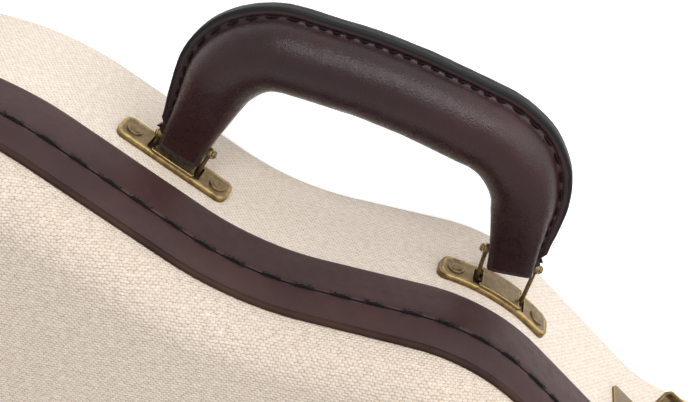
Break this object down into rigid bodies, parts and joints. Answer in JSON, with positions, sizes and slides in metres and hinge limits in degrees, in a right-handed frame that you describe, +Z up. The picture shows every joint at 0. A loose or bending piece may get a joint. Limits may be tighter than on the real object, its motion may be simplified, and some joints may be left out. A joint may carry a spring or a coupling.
{
  "type": "mandolin case",
  "caption": "shaped hard case for a mandolin, canvas over wood with a leather-banded hinged lid, a sewn leather handle on wire links, draw latches and a plush interior",
  "frame": {"origin": "on the back face, on the centre line, halfway along the case", "axes": "X along the case with the lower bout at +X, Y across it with the handle at -Y and the hinges at +Y, Z up from the back to the lid"},
  "size_m": [0.7667, 0.3754, 0.106],
  "materials": {
    "canvas": "coarse natural weave",
    "leather": "dark plum-brown, fine grain, soft sheen",
    "wood": "plain plywood",
    "plush": "short pile plush",
    "felt": "pressed felt",
    "steel": "mill finish",
    "antique_brass": "aged brown with worn bright edges"
  },
  "bodies": {
    "root": {"accessory_box": "plush", "accessory_hinge": "antique_brass", "body_back": "wood", "body_back_canvas": "canvas", "body_floor_pad": "plush", "body_side": "wood", "body_side_canvas": "canvas", "body_valance": "plush", "body_wall_lining": "plush", "bracket_left": "antique_brass", "bracket_right": "antique_brass", "bracket_rivets": "antique_brass", "hinge_body_leaf_lower": "antique_brass", "hinge_body_leaf_upper": "antique_brass", "hinge_pins": "antique_brass", "latch_base_lower": "antique_brass", "latch_base_neck": "antique_brass", "latch_base_tail": "antique_brass", "latch_base_upper": "antique_brass", "latch_pins": "antique_brass", "neck_cradle": "plush"},
    "lid": {"hinge_lid_leaf_lower": "antique_brass", "hinge_lid_leaf_upper": "antique_brass", "latch_catch_lower": "antique_brass", "latch_catch_neck": "antique_brass", "latch_catch_tail": "antique_brass", "latch_catch_upper": "antique_brass", "lid_band_lower": "leather", "lid_band_upper": "leather", "lid_bead": "leather", "lid_lining": "plush", "lid_side": "wood", "lid_top": "wood", "lid_top_canvas": "canvas"},
    "handle": {"handle_core": "steel", "handle_cover": "leather", "handle_padding": "felt", "handle_pin_left": "antique_brass", "handle_pin_right": "antique_brass", "link_left": "antique_brass", "link_right": "antique_brass"},
    "accessory_lid": {"accessory_lid": "plush", "accessory_tab": "leather"},
    "latch_lever_lower": {"latch_lever_lower": "antique_brass"},
    "latch_hook_lower": {"latch_hook_lower": "antique_brass"},
    "latch_lever_upper": {"latch_lever_upper": "antique_brass"},
    "latch_hook_upper": {"latch_hook_upper": "antique_brass"},
    "latch_lever_neck": {"latch_lever_neck": "antique_brass"},
    "latch_hook_neck": {"latch_hook_neck": "antique_brass"},
    "latch_lever_tail": {"latch_lever_tail": "antique_brass"},
    "latch_hook_tail": {"latch_hook_tail": "antique_brass"}
  },
  "joints": [
    {"name": "lid_hinge", "type": "hinge", "parent": "root", "child": "lid", "pos_m": [0.2274, 0.15547, 0.056], "axis": [-0.9971, -0.0767, 0], "range_deg": [0, 100]},
    {"name": "handle_swing", "type": "hinge", "parent": "root", "child": "handle", "pos_m": [0.1653, -0.13451, 0.04], "axis": [1, -0.0088, 0], "range_deg": [-26, 26]},
    {"name": "accessory_lid_hinge", "type": "hinge", "parent": "root", "child": "accessory_lid", "pos_m": [-0.1235, 0, 0.0348], "axis": [0, -1, 0], "range_deg": [0, 75]},
    {"name": "latch_lever_lower", "type": "hinge", "parent": "root", "child": "latch_lever_lower", "pos_m": [0.28556, -0.14456, 0.0485], "axis": [-0.9365, -0.3507, 0], "range_deg": [-70, 20]},
    {"name": "latch_hook_lower", "type": "hinge", "parent": "latch_lever_lower", "child": "latch_hook_lower", "pos_m": [0.28803, -0.15116, 0.04593], "axis": [-0.9365, -0.3507, 0], "range_deg": [-27.5, 95.5]},
    {"name": "latch_lever_upper", "type": "hinge", "parent": "root", "child": "latch_lever_upper", "pos_m": [-0.04861, -0.10027, 0.0485], "axis": [-0.9234, 0.3839, 0], "range_deg": [-70, 20]},
    {"name": "latch_hook_upper", "type": "hinge", "parent": "latch_lever_upper", "child": "latch_hook_upper", "pos_m": [-0.05132, -0.10678, 0.04593], "axis": [-0.9234, 0.3839, 0], "range_deg": [-27.5, 95.5]},
    {"name": "latch_lever_neck", "type": "hinge", "parent": "root", "child": "latch_lever_neck", "pos_m": [-0.25003, -0.09211, 0.0485], "axis": [-0.9998, 0.0205, 0], "range_deg": [-70, 20]},
    {"name": "latch_hook_neck", "type": "hinge", "parent": "latch_lever_neck", "child": "latch_hook_neck", "pos_m": [-0.25018, -0.09915, 0.04593], "axis": [-0.9998, 0.0205, 0], "range_deg": [-27.5, 95.5]},
    {"name": "latch_lever_tail", "type": "hinge", "parent": "root", "child": "latch_lever_tail", "pos_m": [0.3736, 0, 0.0485], "axis": [0, -1, 0], "range_deg": [-70, 20]},
    {"name": "latch_hook_tail", "type": "hinge", "parent": "latch_lever_tail", "child": "latch_hook_tail", "pos_m": [0.38065, 0, 0.04593], "axis": [0, -1, 0], "range_deg": [-27.5, 95.5]}
  ],
  "couplings": [
    {"joint": "latch_hook_lower", "follows": "latch_lever_lower", "ratio": -1.357},
    {"joint": "latch_hook_upper", "follows": "latch_lever_upper", "ratio": -1.357},
    {"joint": "latch_hook_neck", "follows": "latch_lever_neck", "ratio": -1.357},
    {"joint": "latch_hook_tail", "follows": "latch_lever_tail", "ratio": -1.357}
  ]
}
